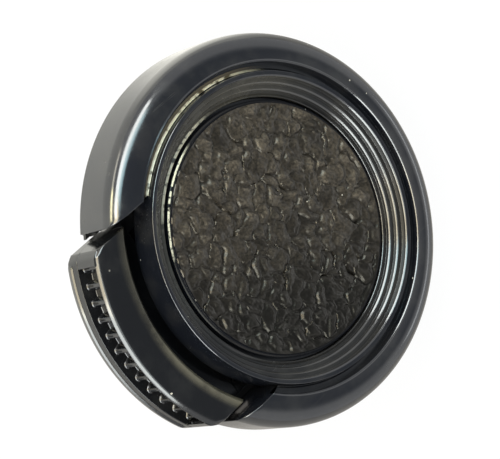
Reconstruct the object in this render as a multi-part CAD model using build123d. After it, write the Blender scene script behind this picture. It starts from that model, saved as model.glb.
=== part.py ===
import os
from math import asin, degrees, radians, sin

from build123d import *

# Lens cap with one sprung finger tab, for a 52 mm filter thread, in millimetres.
# +Z points out of the front face, the finger tab is at -Y, and z = 0 is the plane the cap lies on.

# Lens side
thread_d = 52.0            # filter thread the cap goes into
thread_pitch = 0.75
spigot_play = 0.7          # spigot wall inside the thread's nominal radius
spigot_wall = 1.2
spigot_h = 2.6             # spigot behind the seat
nose_h = 0.9               # plain nose of the spigot, before the ridges
nose_relief = 0.35         # wall at the ridges inside the nose's radius
ridge_count = 2
first_ridge = 0.45         # seat to the first ridge
ridge_h = 0.55             # thread ridges above the nose
ridge_half_angle = 28.0    # half the arc of the fixed ridges, in degrees
flange_h = 0.7             # seat flange behind the shell's back edge
flange_inset = 0.9         # flange inside the shell's wall
plate_t = 1.4
plate_play = 0.05

# Front shell, from its wall inwards
shell_over = 1.5           # shell wall outside the thread's nominal radius
rim_wall = 1.5             # wall beside the back plate
ring_wall = 2.3
crest_h = 9.1              # top of the ring above the shell's back edge
shoulder_r = 3.1           # quarter-round shoulder of the ring
ring_w = 4.4               # shell wall to the ring's inner lip
lip_drop = 0.2
groove_w = 1.3
groove_depth = 0.9
groove_floor_t = 1.2
drum_rise = 0.15           # top of the stepped drum above the ring's crest
drum_wall = 1.4
land_w = 0.9               # sloping land from the drum's edge to the first step
land_drop = 0.35
step_count = 3
step_tread = 0.83
step_rise = 0.74
moat_drop = 0.78           # last step to the moat's floor, where the centre disc sits
moat_w = 0.41
floor_t = 1.3

# Centre disc
disc_taper = 0.3           # how much wider the disc is at its foot
disc_h = 1.72
disc_edge = 0.45

# Finger tab
notch_half = 16.0          # half the width of the notch in the ring
notch_wall = 1.2           # wall that closes the ring beside the notch
tab_gap = 1.35             # room between the tab and each side of the notch
tab_side_play = 0.35       # room between the tab and the back plate beside it
tab_out = 2.35             # how far the tab stands out of the ring
tab_travel = 2.2
tab_clear = 0.4            # room between the pressed tab and the drum
tab_drop = 2.2             # top of the tab below the ring's crest
tab_lift = 0.15            # room between the tab and the lens
tab_corner = 0.6
tab_edge = 0.6             # rounding of the tab's outer top edge
tab_inner_edge = 0.5
toe_out = 0.25             # thin toe along the foot of the grip
toe_h = 0.4
toe_inset = 0.9
frame_top = 0.75           # frame above the finger recess
frame_end = 1.5
recess_h = 4.3
recess_depth = 2.0
rib_count = 12
rib_h = 1.0
rib_foot = 1.5
rib_tip_r = 0.4

# Slide under the drum
slide_play = 0.2           # room above and below the slide
side_play = 0.25
stop_play = 0.2
neck_t = 1.5
slide_half = 11.0
slide_inset = 3.8          # drum wall to the step between neck and slide
slide_back = 5.0           # inner end of the slide, from the axis
ear_l = 3.0
rail_t = 1.2
jaw_half_angle = 29.0
jaw_clear = 0.6            # room behind the jaw when the tab is pressed home

# Springs
spring_x = 8.0
spring_r = 1.0             # mean radius of the coil
wire_d = 0.4
wire_sides = 4             # plain section of the wire
spring_turns = 5
spring_l = 9.3             # length with the tab at rest
spring_end_play = 0.03
slot_play = 0.3
post_t = 1.5
post_play = 0.3
nipple_l = 1.2
nipple_play = 0.15

# Radii that follow from the sizes above
spigot_r = thread_d / 2 - spigot_play
spigot_inner_r = spigot_r - spigot_wall
ridge_wall_r = spigot_r - nose_relief
shell_r = thread_d / 2 + shell_over
flange_r = shell_r - flange_inset
pocket_r = shell_r - rim_wall
crest_r = shell_r - shoulder_r
lip_r = shell_r - ring_w
drum_r = lip_r - groove_w
step_edge_r = drum_r - land_w
moat_r = step_edge_r - step_count * step_tread
disc_foot_r = moat_r - moat_w
disc_r = disc_foot_r - disc_taper
tab_inner_r = drum_r + tab_clear + tab_travel
plate_notch_r = spigot_inner_r - tab_travel - jaw_clear
nipple_r = spring_r - wire_d / 2 - nipple_play
far = 2 * shell_r

# Levels, widths and lengths that follow
seat_z = spigot_h
shell_z = seat_z + flange_h
plate_z = shell_z + plate_t
crest_z = shell_z + crest_h
lip_z = crest_z - lip_drop
groove_z = lip_z - groove_depth
drum_z = crest_z + drum_rise
step_edge_z = drum_z - land_drop
moat_z = step_edge_z - step_count * step_rise - moat_drop
floor_z = moat_z - floor_t
disc_z = moat_z + disc_h
tab_half = notch_half - tab_gap
tab_top_z = crest_z - tab_drop
tab_foot_z = seat_z + tab_lift
recess_z1 = tab_top_z - frame_top
recess_z0 = recess_z1 - recess_h
slide_z0 = plate_z + slide_play
slide_z1 = floor_z - slide_play
slide_front = drum_r - slide_inset
spring_z = (plate_z + floor_z) / 2
slot_half = spring_r + wire_d / 2 + slot_play
slot_end = slide_back + spring_l


def outline(points, *curves):
    """Closed face in the XZ plane from a run of points and any curves that close it."""
    return Plane.XZ * make_face(Curve() + [Polyline(*points), *curves])


def block(x0, x1, y0, y1, z0, z1):
    """Box between two corners."""
    return Pos(x0, y0, z0) * Box(x1 - x0, y1 - y0, z1 - z0, align=Align.MIN)


def cylinder(r, z0, z1):
    """Cylinder about the cap's axis, between two levels."""
    return Pos(0, 0, z0) * Cylinder(r, z1 - z0, align=(Align.CENTER, Align.CENTER, Align.MIN))


def bite(half, inner_r, z0, z1):
    """Parallel-sided space towards -Y, outside a radius about the axis."""
    return block(-half, half, -far, 0, z0, z1) - cylinder(inner_r, z0, z1)


def spigot_tube(top_z):
    """Wall that enters the lens: a plain nose, then a slightly smaller stretch for the ridges."""
    tube = cylinder(spigot_r, 0, nose_h) + cylinder(ridge_wall_r, nose_h, top_z)
    return tube - cylinder(spigot_inner_r, 0, top_z)


def thread_ridges(half_angle, heading):
    """V ridges at the thread's pitch on one side of the spigot, close under the seat."""
    ridges = Part()
    root = (spigot_inner_r + ridge_wall_r) / 2
    rise = thread_pitch / 2
    for i in range(ridge_count):
        z = seat_z - first_ridge - i * thread_pitch
        vee = outline([(root, z - rise), (spigot_r + ridge_h, z), (root, z + rise), (root, z - rise)])
        ridges += Rot(Z=heading - half_angle) * revolve(vee, Axis.Z, 2 * half_angle)
    return ridges


def make_front_shell():
    """Ring, groove, stepped drum and moat in one moulding, hollow behind."""
    steps = [(step_edge_r, step_edge_z)]
    for _ in range(step_count):
        r, z = steps[-1]
        steps += [(r, z - step_rise), (r - step_tread, z - step_rise)]
    shoulder_z = crest_z - shoulder_r
    front = [
        (crest_r, crest_z),
        (lip_r, lip_z),
        (lip_r, groove_z),
        (drum_r, groove_z),
        (drum_r, drum_z),
        *steps,
        (moat_r, moat_z),
        (0, moat_z),
        (0, shell_z),
        (shell_r, shell_z),
        (shell_r, shoulder_z),
    ]
    shoulder = TangentArc((shell_r, shoulder_z), (crest_r, crest_z), tangent=(0, 1))
    solid = revolve(outline(front, shoulder), Axis.Z)

    roof_z = groove_z - groove_floor_t
    bore_r = shell_r - ring_wall
    skirt_r = drum_r - drum_wall
    inside = [
        (0, shell_z),
        (0, floor_z),
        (moat_r - floor_t, floor_z),
        (skirt_r, roof_z),
        (skirt_r, floor_z),
        (drum_r, floor_z),
        (drum_r, roof_z),
        (crest_r, roof_z),
        (bore_r, roof_z - (bore_r - crest_r)),
        (bore_r, plate_z),
        (pocket_r, plate_z),
        (pocket_r, shell_z),
        (0, shell_z),
    ]
    hollow = revolve(outline(inside), Axis.Z)
    hollow -= bite(notch_half + notch_wall, drum_r, plate_z, drum_z)
    return solid - hollow - bite(notch_half, drum_r, shell_z, drum_z)


def make_grain_disc():
    """Tapered disc that sits on the floor of the moat."""
    section = [
        (0, moat_z),
        (disc_foot_r, moat_z),
        (disc_r, disc_z - disc_edge),
        (disc_r - disc_edge, disc_z),
        (0, disc_z),
        (0, moat_z),
    ]
    return revolve(outline(section), Axis.Z)


def grip_plan(face_r, half):
    """Plan of the finger block: an arc like the ring's, moved out, with straight ends."""
    reach = Pos(0, -tab_out) * Circle(face_r)
    strip = Pos(0, -far / 2) * Rectangle(2 * half, far)
    return reach & strip


def rib_plan(floor_r):
    """One tapered grip rib with a round tip, pointing to -Y and rooted in the recess floor."""
    tip_y = -(floor_r + rib_h - rib_tip_r)
    root_y = -(floor_r - rib_tip_r)
    flanks = [
        (-rib_foot / 2, root_y),
        (-rib_foot / 2, -floor_r),
        (-rib_tip_r, tip_y),
        (rib_tip_r, tip_y),
        (rib_foot / 2, -floor_r),
        (rib_foot / 2, root_y),
    ]
    return make_face(Polyline(*flanks, close=True)) + Pos(0, tip_y) * Circle(rib_tip_r)


def make_grip():
    """Curved finger block with a framed recess, a row of ribs and a thin toe."""
    plan = grip_plan(shell_r, tab_half) - Circle(tab_inner_r)
    plan = chamfer(plan.vertices().group_by(Axis.Y)[0], tab_corner)
    grip = extrude(Pos(0, 0, tab_foot_z) * plan, tab_top_z - tab_foot_z)
    top_edges = grip.faces().sort_by(Axis.Z)[-1].edges()
    outer = top_edges.filter_by(lambda e: e.center().Y < -tab_inner_r and abs(e.center().X) < tab_half)
    grip = fillet(outer, tab_edge)
    top_arcs = grip.faces().sort_by(Axis.Z)[-1].edges().filter_by(GeomType.CIRCLE)
    grip = chamfer(top_arcs.sort_by(Axis.Y)[-1], tab_inner_edge)
    toe = grip_plan(shell_r + toe_out, tab_half - toe_inset) - Circle(tab_inner_r)
    grip += extrude(Pos(0, 0, tab_foot_z) * toe, toe_h)

    floor_r = shell_r - recess_depth
    recess_half = tab_half - frame_end
    recess = grip_plan(shell_r + recess_depth, recess_half) - Pos(0, -tab_out) * Circle(floor_r)
    grip -= extrude(Pos(0, 0, recess_z0) * recess, recess_h)
    rib_step = degrees(2 * asin(recess_half / floor_r)) / rib_count
    for i in range(rib_count):
        turn = (i - (rib_count - 1) / 2) * rib_step
        rib = Pos(0, -tab_out) * Rot(Z=turn) * rib_plan(floor_r)
        grip += extrude(Pos(0, 0, recess_z0) * rib, recess_h)
    return grip


def nipple(x, y, way):
    """Short stub along Y that keeps a spring on its seat."""
    stub = Cylinder(nipple_r, nipple_l, align=(Align.CENTER, Align.CENTER, Align.MIN))
    return Pos(x, y, spring_z) * Rot(X=-90 * way) * stub


def make_slide():
    """Slide plate under the drum, with stop ears, spring slots and spring nipples."""
    neck = Pos(0, -far / 2 - slide_front) * Rectangle(2 * tab_half, far) & Circle(tab_inner_r + neck_t)
    slide = extrude(Pos(0, 0, slide_z0) * neck, neck_t)
    slide += block(-slide_half, slide_half, -slide_front, -slide_back, slide_z0, slide_z1)
    ear_half = slide_half + side_play + rail_t
    slide += block(-ear_half, ear_half, -slide_back - ear_l, -slide_back, slide_z0, slide_z1)
    for x in (-spring_x, spring_x):
        slide -= block(x - slot_half, x + slot_half, -slot_end, -slide_back, slide_z0, slide_z1)
        slide += nipple(x, -slot_end, 1)
    return slide


def make_release_tab():
    """Grip, slide and threaded jaw in one moulding."""
    jaw_half = spigot_r * sin(radians(jaw_half_angle))
    jaw = spigot_tube(slide_z0) & block(-jaw_half, jaw_half, -far, 0, 0, slide_z0)
    return make_grip() + make_slide() + jaw + thread_ridges(jaw_half_angle, -90)


def make_back_plate():
    """Closing plate with the seat flange, spigot, fixed ridges, guide rails and spring posts."""
    plate = cylinder(pocket_r - plate_play, shell_z, plate_z)
    plate += cylinder(flange_r, seat_z, shell_z) - cylinder(spigot_inner_r, seat_z, shell_z)
    plate += spigot_tube(seat_z)
    plate -= bite(tab_half + tab_side_play, plate_notch_r, 0, plate_z)
    plate += thread_ridges(ridge_half_angle, 90)
    rail_y0 = -(slide_front - tab_travel - stop_play)
    rail_y1 = -(slide_back + ear_l + stop_play)
    post_half = slot_half - post_play
    for side in (-1, 1):
        rail_x = side * (slide_half + side_play)
        x0, x1 = sorted((rail_x, rail_x + side * rail_t))
        plate += block(x0, x1, rail_y0, rail_y1, plate_z, slide_z1)
        x = side * spring_x
        plate += block(x - post_half, x + post_half, -slide_back, -slide_back + post_t, plate_z, slide_z1)
        plate += nipple(x, -slide_back, -1)
    return plate


def make_spring():
    """Compression spring along Y, from its slot's end to its post."""
    height = spring_l - wire_d - 2 * spring_end_play
    coil = Helix(height / spring_turns, height, spring_r)
    section = Plane(coil @ 0, z_dir=coil % 0) * RegularPolygon(wire_d / 2, wire_sides)
    wire = sweep(section, path=coil, is_frenet=True)
    start_y = -slot_end + wire_d / 2 + spring_end_play
    return Pos(spring_x, start_y, spring_z) * Rot(X=-90) * wire


spring_right = make_spring()
nodes = {
    "front_shell": make_front_shell(),
    "grain_disc": make_grain_disc(),
    "release_tab": make_release_tab(),
    "back_plate": make_back_plate(),
    "spring_left": mirror(spring_right, Plane.YZ),
    "spring_right": spring_right,
}

os.makedirs("parts", exist_ok=True)
for name, solid in nodes.items():
    export_step(solid, f"parts/{name}.step")
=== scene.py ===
import math

import bmesh
import bpy
import numpy as np
from mathutils import Matrix, Vector


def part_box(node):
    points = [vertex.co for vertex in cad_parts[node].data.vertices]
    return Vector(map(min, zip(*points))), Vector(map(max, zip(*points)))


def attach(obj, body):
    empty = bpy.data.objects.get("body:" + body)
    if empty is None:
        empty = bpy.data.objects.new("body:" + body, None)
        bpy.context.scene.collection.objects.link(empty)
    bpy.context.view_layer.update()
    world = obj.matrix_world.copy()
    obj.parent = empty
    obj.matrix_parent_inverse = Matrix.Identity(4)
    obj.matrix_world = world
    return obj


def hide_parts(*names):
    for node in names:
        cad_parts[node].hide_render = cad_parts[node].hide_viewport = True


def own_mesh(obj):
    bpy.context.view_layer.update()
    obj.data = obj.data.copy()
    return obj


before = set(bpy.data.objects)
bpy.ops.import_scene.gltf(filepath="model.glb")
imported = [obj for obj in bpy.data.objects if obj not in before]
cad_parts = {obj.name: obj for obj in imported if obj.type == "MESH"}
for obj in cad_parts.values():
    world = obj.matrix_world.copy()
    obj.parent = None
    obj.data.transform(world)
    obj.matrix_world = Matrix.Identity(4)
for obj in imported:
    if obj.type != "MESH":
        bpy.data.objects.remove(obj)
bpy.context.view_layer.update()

# Front shell
# One black moulding from a polished tool: a ring with a quarter-round shoulder, a narrow groove, and a
# drum that steps down to the moat round the centre disc. The ring is cut away for the finger tab.
MM = 0.001
shell_low, shell_high = (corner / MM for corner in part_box("front_shell"))
shell_r = shell_high.x
shell_foot_z = shell_low.z
drum_z = shell_high.z
crest_z = drum_z - 0.15                # top of the ring
shoulder_r = 3.1
lip_r = 23.1                           # inner edge of the ring's face
lip_rim_h = 0.12                       # thin raised rim along that edge
lip_rim_foot_r, lip_rim_out_r, lip_rim_in_r = lip_r + 0.22, lip_r + 0.05, lip_r - 0.01
lip_rim_in_z = crest_z - 0.02
groove_wall_r = lip_r - 0.14
groove_z = crest_z - 1.1
groove_floor_z = groove_z + 0.04
drum_r, drum_wall = 21.8, 1.4
bead_h, bead_in_h = 0.22, 0.06         # low bead in the groove along the drum
bead_foot_r, bead_out_r, bead_in_r = drum_r + 0.38, drum_r + 0.13, drum_r + 0.06
ring_lap_r = drum_r - 0.05             # the ring's floor runs under the drum's wall
land_fall = 0.03                       # fall of the drum's top towards the first step
drum_edge_r, drum_edge_foot_r, drum_edge_drop = drum_r - 0.18, drum_r - 0.12, 0.05
step_edge_r, step_edge_z = 20.9, drum_z - 0.35
step_count, step_tread, step_rise, step_bevel = 3, 0.83, 0.74, 0.22
moat_r = step_edge_r - step_count * step_tread
last_step_z = step_edge_z - step_count * step_rise
moat_z = last_step_z - 0.78
curb_h, curb_bevel, curb_top_w, curb_w = 0.22, 0.1, 0.16, 0.5
floor_t = 1.3
floor_z = moat_z - floor_t
skirt_roof_z = groove_z - 1.2
pocket_r, plate_z = 26.0, shell_foot_z + 1.4
notch_half, notch_edge = 16.0, 0.15
ring_columns = 300
sharp_angle, merge_distance = math.radians(55), 1e-7


def rounded(corners):
    """Points (a, b) along a line of corners (a, b, radius), each corner turned into an arc."""
    tips = [complex(a, b) for a, b, _ in corners]
    line = [tips[0]]
    for before, tip, after, (_, _, radius) in zip(tips, tips[1:], tips[2:], corners[1:]):
        way = (tip - before) / abs(tip - before)
        turn = np.angle((after - tip) / way)
        start = tip - way * radius * math.tan(abs(turn) / 2)
        centre = start + 1j * way * math.copysign(radius, turn)
        steps = math.ceil(abs(turn) * (3 + 4 * radius)) if radius else 0
        line += list(centre + (start - centre) * np.exp(1j * np.linspace(0, turn, steps + 1)))
    line.append(tips[-1])
    return np.column_stack((np.real(line), np.imag(line)))


def drawn_in(loop, depth):
    """A counter-clockwise loop of points moved inwards."""
    points = loop[:, 0] + 1j * loop[:, 1]
    ahead = np.roll(points, -1) - points
    ahead /= np.maximum(abs(ahead), 1e-9)
    behind = np.roll(ahead, 1)
    points = points + 1j * depth * (ahead + behind) / (1 + (ahead * behind.conj()).real)
    return np.column_stack((points.real, points.imag))


def eased(edge):
    """Depth and shift of the columns that round off the end of a moulding."""
    return [(edge * (1 - math.sin(t)), edge * (1 - math.cos(t))) for t in np.linspace(0, math.pi / 2, 4)]


def around(section, turn):
    """Points of a section (r, z) at a turn about the axis, measured from the finger tab's side."""
    r, z = section.T
    return np.column_stack((r * np.sin(turn), -r * np.cos(turn), z))


def skin(columns, closed_rows=True, ring=False):
    """Vertices and faces over columns of points; ends that aren't joined into a ring are closed."""
    columns = np.array(columns)
    index = np.arange(columns.shape[0] * columns.shape[1]).reshape(columns.shape[:2])
    here, there = (index, np.roll(index, -1, 0)) if ring else (index[:-1], index[1:])
    rows = slice(None) if closed_rows else slice(None, -1)
    quads = [block[:, rows] for block in (here, there, np.roll(there, -1, 1), np.roll(here, -1, 1))]
    faces = np.stack(quads, -1).reshape(-1, 4).tolist()
    if not ring:
        faces += [index[0].tolist(), index[-1].tolist()]
    return columns.reshape(-1, 3), faces


def swept(section, x0, x1, laps, edge, count):
    """Skin of a section (r, z) carried round the axis between two planes across x, with eased ends."""
    starts = [(drawn_in(section, depth), x0 + shift) for depth, shift in eased(edge)]
    stops = [(drawn_in(section, depth), x1 - shift) for depth, shift in reversed(eased(edge))]
    columns = [around(loop, np.arcsin(plane / loop[:, 0])) for loop, plane in starts]
    first = np.arcsin(starts[-1][1] / section[:, 0])
    last = laps * 2 * math.pi + np.arcsin(stops[0][1] / section[:, 0])
    columns += [around(section, first + (last - first) * share) for share in np.linspace(0, 1, count)[1:-1]]
    columns += [around(loop, laps * 2 * math.pi + np.arcsin(plane / loop[:, 0])) for loop, plane in stops]
    return skin(columns)


def revolved(profile, count):
    """Skin of a profile (r, z) that starts and ends on the axis."""
    turns = np.linspace(0, 2 * math.pi, count, endpoint=False)
    return skin([around(profile, turn) for turn in turns], closed_rows=False, ring=True)


def moulded(name, skins):
    """One smooth object from closed skins, given in millimetres."""
    mesh = bpy.data.meshes.new(name)
    points, faces = [], []
    for skin_points, skin_faces in skins:
        faces += [[corner + len(points) for corner in face] for face in skin_faces]
        points += (skin_points * MM).tolist()
    mesh.from_pydata(points, [], faces)
    shape = bmesh.new()
    shape.from_mesh(mesh)
    bmesh.ops.remove_doubles(shape, verts=shape.verts, dist=merge_distance)
    bmesh.ops.recalc_face_normals(shape, faces=shape.faces)
    shape.to_mesh(mesh)
    shape.free()
    mesh.shade_smooth()
    mesh.set_sharp_from_angle(angle=sharp_angle)
    piece = bpy.data.objects.new(name, mesh)
    bpy.context.scene.collection.objects.link(piece)
    piece.modifiers.new("flat faces stay flat", "WEIGHTED_NORMAL").keep_sharp = True
    return piece


ring_section = rounded([
    (pocket_r, shell_foot_z, 0),
    (shell_r, shell_foot_z, 0.25),
    (shell_r, crest_z, shoulder_r),
    (lip_rim_foot_r, crest_z, 0.03),
    (lip_rim_out_r, crest_z + lip_rim_h, 0.03),
    (lip_rim_in_r, crest_z + lip_rim_h, 0.03),
    (groove_wall_r, lip_rim_in_z, 0.03),
    (groove_wall_r, groove_floor_z, 0.05),
    (bead_foot_r, groove_floor_z, 0.03),
    (bead_out_r, groove_floor_z + bead_h, 0.04),
    (bead_in_r, groove_floor_z + bead_h, 0.03),
    (ring_lap_r, groove_floor_z + bead_in_h, 0),
    (ring_lap_r, plate_z, 0),
    (pocket_r, plate_z, 0),
])
steps = [
    (moat_r, last_step_z + curb_h - curb_bevel, 0.05),
    (moat_r + curb_bevel, last_step_z + curb_h, 0.04),
    (moat_r + curb_top_w, last_step_z + curb_h, 0.05),
    (moat_r + curb_w, last_step_z, 0.05),
    (moat_r + step_tread, last_step_z, 0.04),
]
for i in range(1, step_count):
    r, z = moat_r + i * step_tread, last_step_z + i * step_rise
    steps += [(r, z - step_bevel, 0.05), (r + step_bevel, z, 0.05), (r + step_tread, z, 0.04)]
drum_profile = rounded([
    (0, moat_z, 0),
    (moat_r, moat_z, 0.1),
    *steps,
    (step_edge_r, drum_z - land_fall - step_bevel, 0.06),
    (step_edge_r + step_bevel, drum_z - land_fall, 0.06),
    (drum_edge_r, drum_z, 0.02),
    (drum_edge_foot_r, drum_z - drum_edge_drop, 0.02),
    (drum_r, groove_z, 0),
    (drum_r, floor_z, 0.1),
    (drum_r - drum_wall, floor_z, 0),
    (drum_r - drum_wall, skirt_roof_z, 0),
    (moat_r - floor_t, floor_z, 0),
    (0, floor_z, 0),
])
front_shell = moulded("front_shell_moulding", [
    swept(ring_section, notch_half, -notch_half, 1, notch_edge, ring_columns),
    revolved(drum_profile, ring_columns),
])


class Shade:
    """A node's output. Arithmetic on it adds Math nodes to its tree, and node() adds any other node."""

    def __init__(self, tree, socket=None):
        self.tree, self.socket = tree, socket

    def node(self, kind, settings=None, sockets=None, output=0):
        node = self.tree.nodes.new("ShaderNode" + kind)
        for name, value in (settings or {}).items():
            setattr(node, name, value)
        for name, value in (sockets or {}).items():
            if isinstance(value, Shade):
                self.tree.links.new(value.socket, node.inputs[name])
            else:
                node.inputs[name].default_value = value
        return Shade(self.tree, node.outputs[output] if len(node.outputs) else None)

    def maths(self, operation, a, b):
        return self.node("Math", {"operation": operation}, {0: a, 1: b})

    def __add__(self, other):
        return self.maths("ADD", self, other)

    def __radd__(self, other):
        return self.maths("ADD", other, self)

    def __sub__(self, other):
        return self.maths("SUBTRACT", self, other)

    def __rsub__(self, other):
        return self.maths("SUBTRACT", other, self)

    def __mul__(self, other):
        return self.maths("MULTIPLY", self, other)

    def __rmul__(self, other):
        return self.maths("MULTIPLY", other, self)

    def rise(self, low, high):
        """0 below low and 1 above high, smooth between; the other way round where low is above high."""
        ends = {"Value": self, "From Min": low, "From Max": high}
        return self.node("MapRange", {"interpolation_type": "SMOOTHSTEP"}, ends)

    def mix(self, a, b):
        """Colour a where this is 0, b where it is 1."""
        return self.node("Mix", {"data_type": "RGBA"}, {0: self, 6: a, 7: b}, 2)


def new_finish(name):
    """An empty material and a Shade to build it from."""
    finish = bpy.data.materials.new(name)
    finish.use_nodes = True
    finish.node_tree.nodes.clear()
    return finish, Shade(finish.node_tree)


def clouds(shade, place, per_metre, detail, roughness=0.5):
    """Uneven patches from 0 to 1, of a given fineness."""
    sockets = {"Vector": place, "Scale": per_metre, "Detail": detail, "Roughness": roughness}
    return shade.node("TexNoise", {}, sockets)


def specks(shade, place, per_metre, share, size):
    """Scattered dust grains: 1 on a grain, 0 elsewhere."""
    grains = {"Vector": place, "Scale": per_metre}
    near = shade.node("TexVoronoi", {}, grains, "Distance")
    kind = shade.node("TexVoronoi", {}, grains, "Color")
    chance = shade.node("SeparateColor", {}, {"Color": kind}, "Red")
    return near.rise(size, size * 0.6) * chance.rise(share, share * 0.8)


def scratches(shade, place, angle, per_metre):
    """Fine handling scratches that run one way: 1 on a scratch, 0 elsewhere."""
    turned = shade.node("Mapping", {}, {
        "Vector": place,
        "Rotation": (0.4, 0.3, angle),
        "Scale": (per_metre, per_metre * 0.02, per_metre * 0.4),
    })
    line = clouds(shade, turned, 1.0, 1.0)
    patch = clouds(shade, place, 130.0, 1.0)
    return line.rise(0.68, 0.72) * patch.rise(0.48, 0.62)


def distance_along(shade, place, way):
    """How far a place lies along a direction, in millimetres."""
    return shade.node("VectorMath", {"operation": "DOT_PRODUCT"}, {0: place, 1: way}, "Value") * (1 / MM)


def distance_off_axis(shade, place):
    """How far a place lies from the cap's axis, in millimetres."""
    flat = shade.node("VectorMath", {"operation": "MULTIPLY"}, {0: place, 1: (1, 1, 0)})
    return shade.node("VectorMath", {"operation": "LENGTH"}, {0: flat}, "Value") * (1 / MM)


def plastic(shade, colour, roughness, normal, ior=1.5, sheen=(1, 1, 1, 1)):
    """Closes a finish with a plastic surface."""
    surface = shade.node("BsdfPrincipled", {}, {
        "Base Color": colour,
        "Roughness": roughness,
        "IOR": ior,
        "Specular Tint": sheen,
        "Normal": normal,
    })
    shade.node("OutputMaterial", {}, {"Surface": surface})


shell_black = (0.0045, 0.0052, 0.0075, 1)
shell_haze = (0.014, 0.014, 0.0145, 1)
groove_glint_gold = (0.11, 0.09, 0.055, 1)
pale_glint_colour = (0.82, 0.78, 0.60, 1)
step_dust_and_light = (0.042, 0.038, 0.029, 1)
dust_grey = (0.30, 0.28, 0.24, 1)
upwards, window_side = (0, 0, 1), (-0.90, -0.44, 0)
shell_finish, shade = new_finish("polished_black")
place = shade.node("TexCoord", {}, {}, "Object")
from_axis = distance_off_axis(shade, place)
level = distance_along(shade, place, upwards)
leftward = distance_along(shade, place, window_side)
smear = clouds(shade, place, 190.0, 4.0, 0.62)
fine = clouds(shade, place, 5200.0, 2.0)
wave = clouds(shade, place, 1300.0, 2.0)
ragged = clouds(shade, place, 1100.0, 2.0)
marks = scratches(shade, place, 0.6, 2600.0) + scratches(shade, place, 2.1, 3100.0)
dust = specks(shade, place, 640.0, 0.06, 0.10)
haze = smear.rise(0.42, 0.72)
# Gold is painted in the groove on the window side only. It is a painted reflection of the window, made to
# wobble by a bump.
in_groove = from_axis.rise(drum_r + 0.80, drum_r + 0.76) * from_axis.rise(drum_r + 0.01, drum_r + 0.04)
groove_glint = in_groove * leftward.rise(11.0, 18.0) * level.rise(groove_z - 0.2, groove_z - 0.1)
# A pale broken line is painted on the bead and the curb on the window side. It is a painted highlight of the
# window.
on_bead = from_axis.rise(bead_foot_r + 0.02, bead_foot_r - 0.04) * groove_glint
on_steps = from_axis.rise(step_edge_r + 0.1, step_edge_r) * level.rise(moat_z + 0.3, moat_z + 0.5)
on_curb = from_axis.rise(moat_r + 0.42, moat_r + 0.34) * on_steps * leftward.rise(16.0, 17.8)
# Dust on the steps, painted lighter towards the window side: partly dust, partly painted light.
settled = on_steps * (0.25 + 0.75 * leftward.rise(2.0, 16.0)) * (0.4 + smear)
pale_glint = (on_bead + on_curb * 0.55) * ragged.rise(0.34, 0.50)
colour = dust.mix((haze * 0.6 + marks * 0.3).mix(shell_black, shell_haze), dust_grey)
colour = settled.mix(groove_glint.mix(colour, groove_glint_gold), step_dust_and_light)
colour = pale_glint.mix(colour, pale_glint_colour)
roughness = 0.12 + haze * 0.10 + marks * 0.12 + dust * 0.5 + settled * 0.12
scuffs = {"Strength": 0.12, "Distance": 0.02 * MM, "Height": fine - marks * 0.6}
groove_wobble = {"Strength": 0.7, "Distance": 0.1 * MM, "Height": wave * groove_glint}
relief = shade.node("Bump", {}, {**groove_wobble, "Normal": shade.node("Bump", {}, scuffs)})
plastic(shade, colour, roughness, relief, 1.78)
front_shell.data.materials.append(shell_finish)
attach(front_shell, "cap_body")
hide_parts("front_shell")

# Centre disc
# A separate inlay pressed on to the floor of the moat, moulded in a tool with an etched leather grain.
# Its thin rim is smooth and bevelled, and stands lower than the tops of the grain.
disc_low, disc_high = (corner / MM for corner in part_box("grain_disc"))
rim_r = disc_high.x
disc_foot_z, disc_z = disc_low.z, disc_high.z
rim_z, rim_bevel, rim_fall, rim_step = disc_z - 0.42, 0.28, 0.18, 0.12
grain_r, grain_z = rim_r - 0.52, disc_z - 0.22
grain_rings = 165
grain_lift, grain_top, grain_fade = 0.18, 0.02, 0.5
pebble, looseness = 2.1, 0.48
grain_depth, valley_half, wall_width = 0.30, 0.26, 0.42
pebble_dome, pebble_lean = 0.10, 0.06
faintest_crease = 0.4
wrinkle_size, wrinkle_width, wrinkle_depth, wrinkle_rarity = 0.40 * pebble, 0.2, 0.02, 0.7
long_bend, long_bend_size, short_bend, short_bend_size = 0.40, 6.0, 0.13, 1.6
ripple_height, ripple_size = 0.015, 0.7
pair_primes = 7919, 104729
crease_mill, wrinkle_mill = 43758.5453, 9631.17

rng = np.random.default_rng(27)


def waves(x, y, length, count):
    """Smooth uneven waves of about one height, from a few sines of random direction."""
    total = 0
    for heading, phase, stretch in rng.uniform((0, 0, 0.7), (2 * math.pi, 2 * math.pi, 1.4), (count, 3)):
        swing = (x * math.cos(heading) + y * math.sin(heading)) * 2 * math.pi / (length * stretch)
        total = total + np.sin(swing + phase)
    return total / math.sqrt(count)


def bent(x, y, value):
    """A coordinate drawn out of line by long and short waves."""
    return value + long_bend * waves(x, y, long_bend_size, 4) + short_bend * waves(x, y, short_bend_size, 5)


def cells(x, y, size):
    """Nearest and second distance to scattered cell centres, the nearest centre, and a key for each pair."""
    span = np.arange(-grain_r - 2 * size, grain_r + 2 * size, size)
    grid_x, grid_y = np.meshgrid(span, span)
    grid_x = grid_x + np.where(np.arange(len(span)) % 2, 0.5, 0)[:, None] * size
    centres = np.column_stack((grid_x.ravel(), grid_y.ravel()))
    centres += rng.uniform(-looseness, looseness, centres.shape) * size
    first, second, owner, pair = (np.empty(x.size) for _ in range(4))
    for part in np.array_split(np.arange(x.size), 40):
        gaps = np.hypot(x[part][:, None] - centres[:, 0], y[part][:, None] - centres[:, 1])
        order = np.argpartition(gaps, 1, axis=1)[:, :2]
        near = np.take_along_axis(gaps, order, 1)
        swap = near[:, 0] > near[:, 1]
        order[swap], near[swap] = order[swap][:, ::-1], near[swap][:, ::-1]
        first[part], second[part] = near.T
        owner[part] = order[:, 0]
        pair[part] = np.sort(order) @ pair_primes
    return first, second, owner.astype(int), pair, centres


def chance(pair, mill):
    """A share from 0 to 1 that is the same all along one crease."""
    return np.modf(np.abs(np.sin(pair) * mill))[0]


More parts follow.
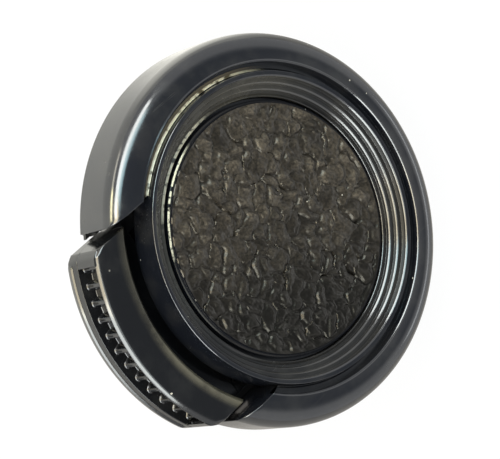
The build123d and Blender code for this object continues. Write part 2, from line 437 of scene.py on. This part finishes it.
def leather(x, y):
    """Height of the grain below its tops, and how deep in a crease each point lies."""
    bent_x = bent(x, y, x)
    bent_y = bent(x, y, y)
    first, second, owner, pair, centres = cells(bent_x, bent_y, pebble)
    wall = np.clip(((second - first) / 2 - valley_half) / wall_width, 0, 1)
    force = faintest_crease + (1 - faintest_crease) * chance(pair, crease_mill)
    crease = force * (1 - wall * (0.6 + 0.4 * wall * (3 - 2 * wall)))
    tilt = rng.normal(0, pebble_lean, (len(centres), 2))[owner]
    lean = tilt[:, 0] * (bent_x - centres[owner, 0]) + tilt[:, 1] * (bent_y - centres[owner, 1])
    dome = pebble_dome * (first / (0.5 * pebble)) ** 2
    near, next_near, _, small_pair, _ = cells(bent_x, bent_y, wrinkle_size)
    rare = chance(small_pair, wrinkle_mill) > wrinkle_rarity
    wrinkle = np.exp(-(((next_near - near) / wrinkle_width) ** 2)) * rare
    ripple = ripple_height * waves(x, y, ripple_size, 6)
    height = lean - grain_depth * crease - wrinkle_depth * wrinkle - dome + ripple
    return height, np.clip(crease + 0.4 * wrinkle, 0, 1)


def ring_grid(rings, outer_r):
    """Points (x, y) on even rings about the axis, six more on each, and the triangles between them."""
    counts = [max(1, 6 * k) for k in range(rings + 1)]
    starts = np.concatenate(([0], np.cumsum(counts)))
    ring = np.repeat(np.arange(rings + 1), counts)
    turn = 2 * math.pi * (np.arange(len(ring)) - starts[ring]) / np.array(counts)[ring]
    points = np.column_stack((np.sin(turn), -np.cos(turn))) * (outer_r * ring / rings)[:, None]
    faces = []
    for k in range(rings):
        for sector in range(6):
            for i in range(k + 1):
                inner, outer = sector * k + i, sector * (k + 1) + i
                here, next_in = starts[k] + np.array((inner, inner + 1)) % counts[k]
                there, next_out = starts[k + 1] + np.array((outer, outer + 1)) % counts[k + 1]
                faces.append((here, there, next_out))
                if i < k:
                    faces.append((here, next_out, next_in))
    return points, faces


edge_profile = rounded([
    (grain_r, grain_z, 0),
    (grain_r + rim_step, rim_z, 0.04),
    (rim_r - rim_bevel, rim_z, 0.05),
    (rim_r, rim_z - rim_fall, 0.06),
    (rim_r, disc_foot_z, 0),
])
grain_plan, faces = ring_grid(grain_rings, grain_r)
height, crease = leather(*grain_plan.T)
fade = np.clip((grain_r - np.hypot(*grain_plan.T)) / grain_fade, 0, 1)
points = [np.column_stack((grain_plan, grain_z + (np.minimum(height, grain_top) + grain_lift) * fade))]
around_rim = 6 * grain_rings
turns = np.linspace(0, 2 * math.pi, around_rim, endpoint=False)
first_rim = len(grain_plan) - around_rim
for row, (r, z) in enumerate(edge_profile[1:]):
    points.append(np.column_stack((r * np.sin(turns), -r * np.cos(turns), np.full(around_rim, z))))
    here = first_rim + row * around_rim + np.arange(around_rim)
    beside = np.roll(here, -1)
    faces += np.column_stack((here, here + around_rim, beside + around_rim, beside)).tolist()
faces.append((here + around_rim).tolist())
points = np.vstack(points)
disc = moulded("grained_disc", [(points, faces)])
depth = disc.data.attributes.new("crease", "FLOAT", "POINT")
depth.data.foreach_set("value", np.concatenate((crease, np.zeros(len(points) - len(crease)))))

grain_bare = (0.0034, 0.0032, 0.0030, 1)
grain_crease_shade = (0.0022, 0.0021, 0.0020, 1)
grain_worn_and_lit = (0.070, 0.058, 0.044, 1)
grain_sheen = (1.0, 0.93, 0.81, 1)
grain_lit_side, glint_side = (-0.87, 0.50, 0), (-0.74, -0.67, 0)
grain_finish, shade = new_finish("leather_grain")
place = shade.node("TexCoord", {}, {}, "Object")
from_axis = distance_off_axis(shade, place)
level = distance_along(shade, place, upwards)
deep = shade.node("Attribute", {"attribute_name": "crease"}, {}, "Fac")
blotch = clouds(shade, place, 150.0, 5.0, 0.6)
pores = clouds(shade, place, 2600.0, 3.0, 0.7)
ragged = clouds(shade, place, 1100.0, 2.0)
dust = specks(shade, place, 700.0, 0.05, 0.09)
smooth_rim = from_axis.rise(grain_r - 0.03, grain_r + 0.03)
# The film is painted lighter towards one side of the disc as painted light, broken by worn blotches and
# pores, and thinner in the creases as painted shade.
worn_and_lit_film = distance_along(shade, place, grain_lit_side).rise(-13.0, 6.0) * (1 - 0.7 * deep)
worn_and_lit_film = worn_and_lit_film * (0.45 + 0.6 * blotch.rise(0.35, 0.65)) * (0.35 + 0.85 * pores.rise(0.36, 0.66))
# A pale broken line is painted on the rim's bevel on one side. It is a painted highlight.
on_bevel = from_axis.rise(rim_r - 0.26, rim_r - 0.22) * level.rise(rim_z - 0.20, rim_z - 0.16)
ragged_glint = distance_along(shade, place, glint_side).rise(15.5, 17.2) * ragged.rise(0.42, 0.54)
# Creases are painted darker than the tops: painted shade.
colour = deep.rise(0.1, 0.7).mix(worn_and_lit_film.mix(grain_bare, grain_worn_and_lit), worn_and_lit_film.mix(grain_crease_shade, grain_worn_and_lit))
colour = dust.mix(smooth_rim.mix(colour, shell_black), dust_grey)
colour = (on_bevel * ragged_glint * 0.8).mix(colour, pale_glint_colour)
roughness = 0.34 + pores * 0.12 - deep * 0.08 - smooth_rim * 0.24
pitted = pores * (1 - smooth_rim)
relief = shade.node("Bump", {}, {"Strength": 0.35, "Distance": 0.05 * MM, "Height": pitted})
plastic(shade, colour, roughness, relief, 1.45, grain_sheen)
disc.data.materials.append(grain_finish)
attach(disc, "cap_body")
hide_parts("grain_disc")

# Back plate
# A satin black moulding glued into the back of the shell. It has the seat flange, the spigot that enters
# the lens with two fixed thread ridges, and inside it the rails and posts of the slide.
plate_r, plate_edge = pocket_r - 0.05, 0.12
plate_notch_half, plate_notch_r = 15.0, 21.3
flange_r, seat_z = 26.6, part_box("back_plate")[0].z / MM + 2.6
spigot_r, spigot_inner_r, ridge_wall_r = 25.3, 24.1, 24.95
spigot_edge, nose_z = 0.08, 0.9
flange_lap_r, spigot_lap_r = 25.2, 25.0
ridge_crest_r, ridge_pitch, first_ridge = spigot_r + 0.55, 0.75, 0.45
ridge_half_angle, ridge_fade, ridge_columns = 28, 0.08, 90
lap = 0.1                              # how far joined forms run into each other
slide_z0, slide_z1 = plate_z + 0.2, floor_z - 0.2
spring_x, spring_z, spring_l = 8.0, (plate_z + floor_z) / 2, 9.3
slide_back = -5.0
slot_end, slot_half = slide_back - spring_l, 1.5
rail_in, rail_out, rail_front, rail_back = 11.25, 12.45, -15.3, -8.2
post_half, post_t = 1.2, 1.5
nipple_r, nipple_l, nipple_edge, nipple_root, nipple_sides = 0.65, 1.2, 0.15, 0.2, 24


def upright(outline, low, high, edge):
    """Skin of a plan outline (x, y) stood up between two levels, with eased edges."""
    ends = [(drawn_in(outline, depth), low + shift) for depth, shift in eased(edge)]
    ends += [(drawn_in(outline, depth), high - shift) for depth, shift in reversed(eased(edge))]
    return skin([np.column_stack((loop, np.full(len(loop), z))) for loop, z in ends])


def bar(x0, x1, y0, y1, z0, z1, edge=0.15):
    """Skin of a small square-sided post or rail with eased edges."""
    x0, x1 = sorted((x0, x1))
    start = ((x0 + x1) / 2, y0, 0)
    corners = [start, (x1, y0, edge), (x1, y1, edge), (x0, y1, edge), (x0, y0, edge), start]
    return upright(rounded(corners)[:-1], z0, z1, edge)


def nipple(x, y, way):
    """Skin of a short stub along y that keeps a spring on its seat."""
    turns = np.linspace(0, 2 * math.pi, nipple_sides, endpoint=False)
    columns = []
    for r, out in (
        (nipple_r, -nipple_root),
        (nipple_r, nipple_l - nipple_edge),
        (nipple_r - nipple_edge, nipple_l),
    ):
        ends = np.full(nipple_sides, y + way * out)
        columns.append(np.column_stack((x + r * np.sin(turns), ends, spring_z + r * np.cos(turns))))
    return skin(columns)


def ridge(z, heading, half_angle):
    """Skin of one V ridge at the thread's pitch, which fades in and out at its ends."""
    root_r, rise = (spigot_inner_r + ridge_wall_r) / 2, ridge_pitch / 2
    vee = rounded([(root_r, z - rise, 0), (ridge_crest_r, z, 0.08), (root_r, z + rise, 0)])
    sunk = (ridge_wall_r - lap - root_r) / (ridge_crest_r - root_r)
    columns = []
    for share in np.linspace(-1, 1, ridge_columns):
        out = sunk + (1 - sunk) * min(1, (1 - abs(share)) / ridge_fade)
        faded = np.column_stack((root_r + (vee[:, 0] - root_r) * out, vee[:, 1]))
        columns.append(around(faded, math.radians(heading + share * half_angle)))
    return skin(columns)


def plan_arc(r, x0, x1, laps=0, count=160):
    """Points (x, y) of an arc about the axis between two planes across x."""
    turns = np.linspace(math.asin(x0 / r), laps * 2 * math.pi + math.asin(x1 / r), count)
    return np.column_stack((r * np.sin(turns), -r * np.cos(turns)))


plate_plan = np.vstack((
    plan_arc(plate_r, plate_notch_half, -plate_notch_half, 1, ring_columns),
    plan_arc(plate_notch_r, -plate_notch_half, plate_notch_half),
))
spigot_section = rounded([
    (spigot_lap_r, shell_foot_z + lap, 0),
    (spigot_inner_r, shell_foot_z + lap, 0),
    (spigot_inner_r, 0, 0.2),
    (spigot_r, 0, 0.3),
    (spigot_r, nose_z, 0.12),
    (ridge_wall_r, nose_z, 0.1),
    (ridge_wall_r, seat_z, 0.1),
    (flange_r, seat_z, 0.15),
    (flange_r, shell_foot_z, 0),
    (flange_lap_r, shell_foot_z, 0),
])
ridge_levels = seat_z - first_ridge, seat_z - first_ridge - ridge_pitch
plate_skins = [
    upright(plate_plan, shell_foot_z, plate_z, plate_edge),
    swept(spigot_section, plate_notch_half, -plate_notch_half, 1, spigot_edge, ring_columns),
    *(ridge(z, 180, ridge_half_angle) for z in ridge_levels),
]
for seat_x in (-spring_x, spring_x):
    side = math.copysign(1, seat_x)
    post = (seat_x - post_half, seat_x + post_half, slide_back, slide_back + post_t)
    plate_skins += [
        bar(side * rail_in, side * rail_out, rail_front, rail_back, plate_z - lap, slide_z1),
        bar(*post, plate_z - lap, slide_z1),
        nipple(seat_x, slide_back, -1),
    ]
back_plate = moulded("back_plate_moulding", plate_skins)

plate_black = (0.0105, 0.0108, 0.0120, 1)
plate_rubbed = (0.028, 0.028, 0.029, 1)
plate_finish, shade = new_finish("satin_black_plate")
place = shade.node("TexCoord", {}, {}, "Object")
smear = clouds(shade, place, 120.0, 4.0, 0.6)
spark = clouds(shade, place, 3400.0, 2.0, 0.7)
marks = scratches(shade, place, 0.2, 2300.0) + scratches(shade, place, 1.3, 2700.0)
dust = specks(shade, place, 520.0, 0.10, 0.11)
rubbed = smear.rise(0.45, 0.75) * 0.5 + marks * 0.5
colour = dust.mix(rubbed.mix(plate_black, plate_rubbed), dust_grey)
roughness = 0.36 + smear * 0.14 - marks * 0.08 + dust * 0.3
scuffed = spark - marks * 0.5
relief = shade.node("Bump", {}, {"Strength": 0.30, "Distance": 0.03 * MM, "Height": scuffed})
plastic(shade, colour, roughness, relief)
back_plate.data.materials.append(plate_finish)
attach(back_plate, "cap_body")
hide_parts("back_plate")

# Springs
# Two compression springs of drawn steel wire with closed ends. They lie in the slots of the slide
# between its stubs and the posts of the back plate, and push the tab out.
coil_r, wire_r, spring_play = 1.0, 0.2, 0.03
coil_turns, end_turns = 5, 0.8
wire_columns, wire_sides = 240, 12
spring_y0, spring_y1 = slot_end + wire_r + spring_play, slide_back - wire_r - spring_play
free_l = spring_y1 - spring_y0 - 4 * wire_r
tab_travel = 2.2

wire_steel = (0.50, 0.49, 0.47, 1)
wire_dull = (0.24, 0.22, 0.19, 1)
wire_finish, shade = new_finish("drawn_steel_wire")
place = shade.node("TexCoord", {}, {}, "Object")
drawn = shade.node("Mapping", {}, {"Vector": place, "Scale": (5200.0, 700.0, 5200.0)})
lines = clouds(shade, drawn, 1.0, 3.0)
tarnish = clouds(shade, place, 420.0, 3.0)
dull = tarnish.rise(0.45, 0.70) * 0.7 + lines * 0.2
surface = shade.node("BsdfPrincipled", {}, {
    "Base Color": dull.mix(wire_steel, wire_dull),
    "Metallic": 1.0,
    "Roughness": 0.24 + lines * 0.18 + dull * 0.15,
    "Normal": shade.node("Bump", {}, {"Strength": 0.2, "Distance": 0.01 * MM, "Height": lines}),
})
shade.node("OutputMaterial", {}, {"Surface": surface})

for side, hand in ((-1, "left"), (1, "right")):
    travel = np.linspace(0, coil_turns + 2 * end_turns, wire_columns)
    first_end, coil, last_end = (
        np.clip((travel - start) / turns, 0, 1)
        for start, turns in ((0, end_turns), (end_turns, coil_turns), (end_turns + coil_turns, end_turns))
    )
    path = np.column_stack((
        side * spring_x + side * coil_r * np.cos(2 * math.pi * travel),
        spring_y0 + wire_r * 2 * (first_end + last_end) + coil * free_l,
        spring_z + coil_r * np.sin(2 * math.pi * travel),
    ))
    tangent = np.gradient(path, axis=0)
    tangent /= np.linalg.norm(tangent, axis=1)[:, None]
    out = (path - (side * spring_x, 0, spring_z)) * (1, 0, 1)
    out -= tangent * np.sum(out * tangent, axis=1)[:, None]
    out /= np.linalg.norm(out, axis=1)[:, None]
    across = np.cross(tangent, out)
    spin = np.linspace(0, 2 * math.pi, wire_sides, endpoint=False)[:, None, None]
    wire = path + wire_r * (np.cos(spin) * out + np.sin(spin) * across)
    spring = moulded(f"{hand}_spring_wire", [skin(np.swapaxes(wire, 0, 1))])
    spring.data.materials.append(wire_finish)
    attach(spring, "cap_body")
    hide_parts(f"spring_{hand}")
    seat = (side * spring_x * MM, slide_back * MM, spring_z * MM)
    (spring_l - tab_travel) / spring_l
    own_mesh(spring)

# Finger tab
# One satin black moulding: the curved grip with its framed recess and ribs, the slide under the drum
# with its stop ears and spring slots, and the jaw with two thread ridges that hold the lens.
tab_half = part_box("release_tab")[1].x / MM
tab_foot_z, tab_top_z = seat_z + 0.15, crest_z - 2.2
tab_out, tab_inner_r, tab_edge = 2.35, 24.4, 0.15
top_w, brow_w, foot_w, inner_w = 1.6, 0.68, 1.5, 2.0
corner_cut, corner_blur, inner_slope, inner_land = 0.6, 0.15, 0.5, 0.4
recess_half, recess_z0, recess_z1, recess_depth = tab_half - 1.5, 5.15, 9.45, 2.0
recess_draft, recess_wall, rail_edge, brow_in = 0.06, 0.2, 0.12, 0.02
recess_over, recess_under = recess_z1 + 0.13, recess_z0 - 0.1
toe_out, toe_half, toe_undercut = 0.25, tab_half - 0.9, 0.15
toe_top_z, toe_tip_z = tab_foot_z + 1.12, tab_foot_z + 0.88
rib_count, rib_h, rib_half, nose_half, rib_root = 12, 1.05, 0.78, 0.28, 0.4
rib_step = 2 * math.asin(recess_half / (shell_r - recess_depth)) / rib_count
rib_foot_z, rib_top_z = recess_z0 + 0.03, recess_z1 - 0.05
rib_foot = ((-0.19, 0), (-0.02, 0.17), (0, 0.22))
grip_count = 240
slide_half, ear_half, ear_y, slide_front, slide_edge = 11.0, 12.45, -8.0, -18.0, 0.15
neck_half, neck_r, neck_y, neck_t, neck_edge = tab_half - 0.02, tab_inner_r + 1.5, -17.6, 1.5, 0.12
cheek_z = shell_foot_z + 0.1
jaw_half_angle, jaw_edge, jaw_columns, jaw_lap_r = 29, 0.12, 100, 24.5
jaw_half = spigot_r * math.sin(math.radians(jaw_half_angle))

outer_rows = rounded([
    (top_w, tab_top_z, 0),
    (brow_w, tab_top_z, 1.3),
    (brow_in, recess_z1 + recess_draft, 0.05),
    (recess_depth, recess_z1 - recess_draft, 0.25),
    (recess_depth, recess_z0 + recess_draft, 0.3),
    (0, recess_z0 - rail_edge, 0.10),
    (0, toe_top_z, 0.12),
    (-toe_out, toe_tip_z, 0.03),
    (toe_undercut - toe_out, tab_foot_z, 0.05),
    (foot_w, tab_foot_z, 0),
])
inner_rows = rounded([
    (inner_w, tab_foot_z, 0),
    (0, tab_foot_z, 0.15),
    (0, tab_top_z - inner_slope, 0.3),
    (inner_slope, tab_top_z, 0.3),
    (inner_slope + inner_land, tab_top_z, 0),
])
in_recess = (outer_rows[:, 1] > recess_under) & (outer_rows[:, 1] < recess_over)
on_toe = outer_rows[:, 0] < 0


def grip_section(x):
    """Section (y, z) of the grip at a place across the tab."""
    inside = min(1.0, max(0.0, (recess_half - abs(x)) / recess_wall))
    hollow = inside * inside * (3 - 2 * inside)
    toe = min(1.0, max(0.0, (toe_half - abs(x)) / recess_wall))
    over = abs(x) - (tab_half - corner_cut)
    cut = (math.sqrt(over ** 2 + corner_blur ** 2) + over) / 2
    inset = outer_rows[:, 0] * np.where(in_recess, hollow, 1) * np.where(on_toe, toe, 1) + cut
    outer_y = -tab_out - np.sqrt((shell_r - inset) ** 2 - x ** 2)
    inner_y = -np.sqrt((tab_inner_r + inner_rows[:, 0]) ** 2 - x ** 2)
    return np.vstack((
        np.column_stack((inner_y, inner_rows[:, 1])),
        np.column_stack((outer_y, outer_rows[:, 1])),
    ))


def across_tab(section, x):
    """Points of a section (y, z) at a place across the tab."""
    return np.column_stack((np.full(len(section), x), section))


def rib(turn):
    """Skin of one upright rib with a round nose, with a bevel round its foot."""
    nose = rounded([
        (0, -rib_root, 0),
        (rib_half, -rib_root, 0),
        (nose_half, rib_h, 0.25),
        (-nose_half, rib_h, 0.25),
        (-rib_half, -rib_root, 0),
    ])
    levels = [(depth, rib_foot_z + up) for depth, up in rib_foot] + [(0, rib_top_z)]
    columns = []
    for depth, z in levels:
        across, out = drawn_in(nose, depth).T
        out = shell_r - recess_depth + out
        columns.append(np.column_stack((
            across * math.cos(turn) + out * math.sin(turn),
            across * math.sin(turn) - out * math.cos(turn) - tab_out,
            np.full(len(nose), z),
        )))
    return skin(columns)


grip_ends = [(tab_half - shift, depth) for depth, shift in eased(tab_edge)]
wall_places = recess_half - np.linspace(0, recess_wall, 6)
even_places = np.linspace(-tab_half + tab_edge, tab_half - tab_edge, grip_count)[1:-1]
grip_columns = [across_tab(drawn_in(grip_section(-x), depth), -x) for x, depth in grip_ends]
middle_places = sorted([*even_places, *wall_places, *-wall_places])
grip_columns += [across_tab(grip_section(x), x) for x in middle_places]
grip_columns += [across_tab(drawn_in(grip_section(x), depth), x) for x, depth in reversed(grip_ends)]

half_plan = [
    (0, slide_front, 0),
    (slide_half, slide_front, 0.3),
    (slide_half, ear_y, 0.2),
    (ear_half, ear_y, 0.2),
    (ear_half, slide_back, 0.2),
    (spring_x + slot_half, slide_back, 0.2),
    (spring_x + slot_half, slot_end, 0.2),
    (spring_x - slot_half, slot_end, 0.2),
    (spring_x - slot_half, slide_back, 0.2),
    (0, slide_back, 0),
]
slide_plan = rounded(half_plan + [(-x, y, r) for x, y, r in half_plan[-2::-1]])[:-1]
neck_plan = np.vstack((
    plan_arc(neck_r, -neck_half, neck_half, count=60),
    [(neck_half, neck_y), (-neck_half, neck_y)],
))
# Small blocks beside the neck close the view into the cap: inner x, front and back y, low and high z.
wing = (12.7, slide_front, -15.3, slide_z0, slide_z0 + neck_t)
cheek = (13.9, -24.0, -18.5, cheek_z, slide_z0 + 0.2)
cheek_foot = (14.0, -19.1, -18.35, 2.6, cheek_z + 0.1)
jaw_section = rounded([
    (jaw_lap_r, slide_z0 + lap, 0),
    (spigot_inner_r, slide_z0 + lap, 0),
    (spigot_inner_r, 0, 0.2),
    (spigot_r, 0, 0.3),
    (spigot_r, nose_z, 0.12),
    (ridge_wall_r, nose_z, 0.1),
    (ridge_wall_r, slide_z0 + lap, 0),
])
tab = moulded("finger_tab", [
    skin(grip_columns),
    upright(slide_plan, slide_z0, slide_z1, slide_edge),
    upright(neck_plan, slide_z0, slide_z0 + neck_t, neck_edge),
    *(rib((i + 0.5 - rib_count / 2) * rib_step) for i in range(rib_count)),
    *(bar(side * x, side * neck_half, *rest) for x, *rest in (wing, cheek, cheek_foot) for side in (-1, 1)),
    swept(jaw_section, -jaw_half, jaw_half, 0, jaw_edge, jaw_columns),
    *(ridge(z, 0, jaw_half_angle) for z in ridge_levels),
    *(nipple(x, slot_end, 1) for x in (-spring_x, spring_x)),
])

tab_black = (0.0040, 0.0042, 0.0050, 1)
tab_grey = (0.014, 0.014, 0.014, 1)
tab_dust = (0.075, 0.068, 0.048, 1)
sideways = (1, 0, 0)
tab_finish, shade = new_finish("satin_black_tab")
place = shade.node("TexCoord", {}, {}, "Object")
from_axis = distance_off_axis(shade, place)
level = distance_along(shade, place, upwards)
smear = clouds(shade, place, 210.0, 4.0, 0.62)
spark = clouds(shade, place, 4200.0, 2.0, 0.7)
marks = scratches(shade, place, 0.9, 2500.0) + scratches(shade, place, 2.4, 2900.0)
dust = specks(shade, place, 600.0, 0.08, 0.11)
ledge = from_axis.rise(tab_inner_r + 1.9, tab_inner_r + 0.5) * level.rise(tab_top_z - 1.2, tab_top_z)
sheltered = 0.35 + 0.65 * distance_along(shade, place, sideways).rise(-6.0, 3.0)
settled = ledge * (smear * 0.9 + 0.25).rise(0.35, 0.75) * sheltered
rubbed = smear.rise(0.45, 0.75) * 0.5 + marks * 0.4
colour = settled.mix(rubbed.mix(tab_black, tab_grey), tab_dust)
colour = dust.mix(colour, dust_grey)
roughness = 0.10 + smear * 0.10 + settled * 0.3 + dust * 0.4
scuffed = spark - marks * 0.5
relief = shade.node("Bump", {}, {"Strength": 0.06, "Distance": 0.02 * MM, "Height": scuffed})
plastic(shade, colour, roughness, relief, 1.62)
tab.data.materials.append(tab_finish)
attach(tab, "tab")
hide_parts("release_tab")

# Studio
# A plain white table in a pale room, with a window and its sky on one side, a small warm lamp under them,
# wide soft lights in front and a dim one behind. The camera looks down with the tab at the lower left.
floor_reach = 3.0
floor_corners = [(x * floor_reach, y * floor_reach, 0) for x, y in ((-1, -1), (1, -1), (1, 1), (-1, 1))]
floor_mesh = bpy.data.meshes.new("studio_floor")
floor_mesh.from_pydata(floor_corners, [], [(0, 1, 2, 3)])
floor = bpy.data.objects.new("studio_floor", floor_mesh)
bpy.context.scene.collection.objects.link(floor)
white = (1, 1, 1, 1)
table_white = (0.90, 0.885, 0.86, 1)
table_shade, table_light = (0.48, 0.45, 0.41, 1), (1.14, 1.12, 1.04, 1)
patch_light, patch_at = (2.6, 2.55, 2.3, 1), (-0.046, 0.015, 0)
floor_finish, shade = new_finish("white_table")
seen = shade.node("LightPath", {}, {}, "Is Camera Ray")
glossy = shade.node("LightPath", {}, {}, "Is Glossy Ray")
through = shade.node("LightPath", {}, {}, "Is Transmission Ray")
spot = shade.node("NewGeometry", {}, {}, "Position")
from_patch = shade.node("VectorMath", {"operation": "DISTANCE"}, {0: spot, 1: patch_at}, "Value")
# Seen in reflections the table is painted: painted shade away from the window side and a painted pool of
# window light beside the cap.
mirrored = distance_along(shade, spot, window_side).rise(0.0, 22.0).mix(table_shade, table_light)
mirrored = from_patch.rise(0.026, 0.010).mix(mirrored, patch_light)
matt = shade.node("BsdfDiffuse", {}, {"Color": table_white})
lit = shade.node("Emission", {}, {"Color": glossy.mix(white, mirrored), "Strength": 1.0})
table = shade.node("MixShader", {}, {0: (seen + through) * 0.92 + glossy * 0.8, 1: matt, 2: lit})
shade.node("OutputMaterial", {}, {"Surface": table})
floor_mesh.materials.append(floor_finish)

wall_pale, ceiling_dim = (0.84, 0.85, 0.86, 1), (0.19, 0.205, 0.225, 1)
world = bpy.data.worlds.new("pale_room")
bpy.context.scene.world = world
world.use_nodes = True
world.node_tree.nodes.clear()
shade = Shade(world.node_tree)
direction = shade.node("TexCoord", {}, {}, "Generated")
height = shade.node("SeparateXYZ", {}, {"Vector": direction}, "Z")
room = height.rise(0.56, 0.82).mix(wall_pale, ceiling_dim)
seen = shade.node("LightPath", {}, {}, "Is Camera Ray")
background = shade.node("Background", {}, {"Color": seen.mix(room, white), "Strength": 1.0})
shade.node("OutputWorld", {}, {"Surface": background})


def direction_to(azimuth, elevation):
    """Unit vector from the cap to a place in the room, by its azimuth from the tab's side and elevation."""
    az, el = math.radians(azimuth), math.radians(elevation)
    return Vector((math.sin(az) * math.cos(el), -math.cos(az) * math.cos(el), math.sin(el)))


def soft_light(name, azimuth, elevation, wide, high, brightness, colour, away=0.6):
    """A rectangular light that faces the cap, of a given angular size in degrees and brightness."""
    size = 2 * away * math.tan(math.radians(wide) / 2), 2 * away * math.tan(math.radians(high) / 2)
    lamp = bpy.data.lights.new(name, "AREA")
    lamp.shape, lamp.size, lamp.size_y = "RECTANGLE", *size
    lamp.energy = brightness * math.pi * size[0] * size[1]
    lamp.color = colour
    towards = direction_to(azimuth, elevation)
    holder = bpy.data.objects.new(name, lamp)
    holder.location = towards * away
    holder.rotation_euler = towards.to_track_quat("Z", "Y").to_euler()
    bpy.context.scene.collection.objects.link(holder)


# Azimuth, elevation, width and height of each light in degrees, then its brightness and colour.
soft_light("window", -76, 28, 52, 13, 11.0, (0.97, 1.0, 0.98))
soft_light("sky_low", -79, 38, 38, 8, 6.8, (0.74, 0.97, 1.0))
soft_light("sky_high", -79, 45, 38, 7, 4.2, (0.60, 0.91, 1.0))
soft_light("warm_lamp", -51, 3, 14, 11, 16.0, (1.0, 0.92, 0.56))
soft_light("warm_glow", -67, 2, 18, 9, 5.0, (1.0, 0.94, 0.78))
soft_light("front_left", -30, 31, 42, 19, 8.5, (1.0, 0.88, 0.62))
soft_light("front_light", 16, 28, 50, 20, 10.5, (0.95, 1.0, 0.98))
soft_light("front_sky", 5, 47, 60, 14, 2.2, (0.9, 1.0, 1.0))
soft_light("far_light", 150, 25, 34, 8, 2.0, (0.93, 0.97, 1.0))

aim, camera_away = Vector((-2.783, -4.319, 10.92)) * MM, 285.815 * MM
back, roll = direction_to(-26.084, 54.888), math.radians(-77.866)
level_right = (-back).cross(Vector(upwards)).normalized()
up = math.cos(roll) * level_right.cross(-back) + math.sin(roll) * level_right
turned = Matrix(((-back).cross(up), up, back)).transposed().to_4x4()
lens = bpy.data.cameras.new("camera")
lens.sensor_width, lens.lens = 36.0, 150.7
lens.clip_start = 0.01
camera = bpy.data.objects.new("camera", lens)
camera.matrix_world = Matrix.Translation(aim + back * camera_away) @ turned
bpy.context.scene.collection.objects.link(camera)
bpy.context.scene.camera = camera
bpy.context.scene.view_settings.view_transform = "Standard"

bpy.context.view_layer.update()
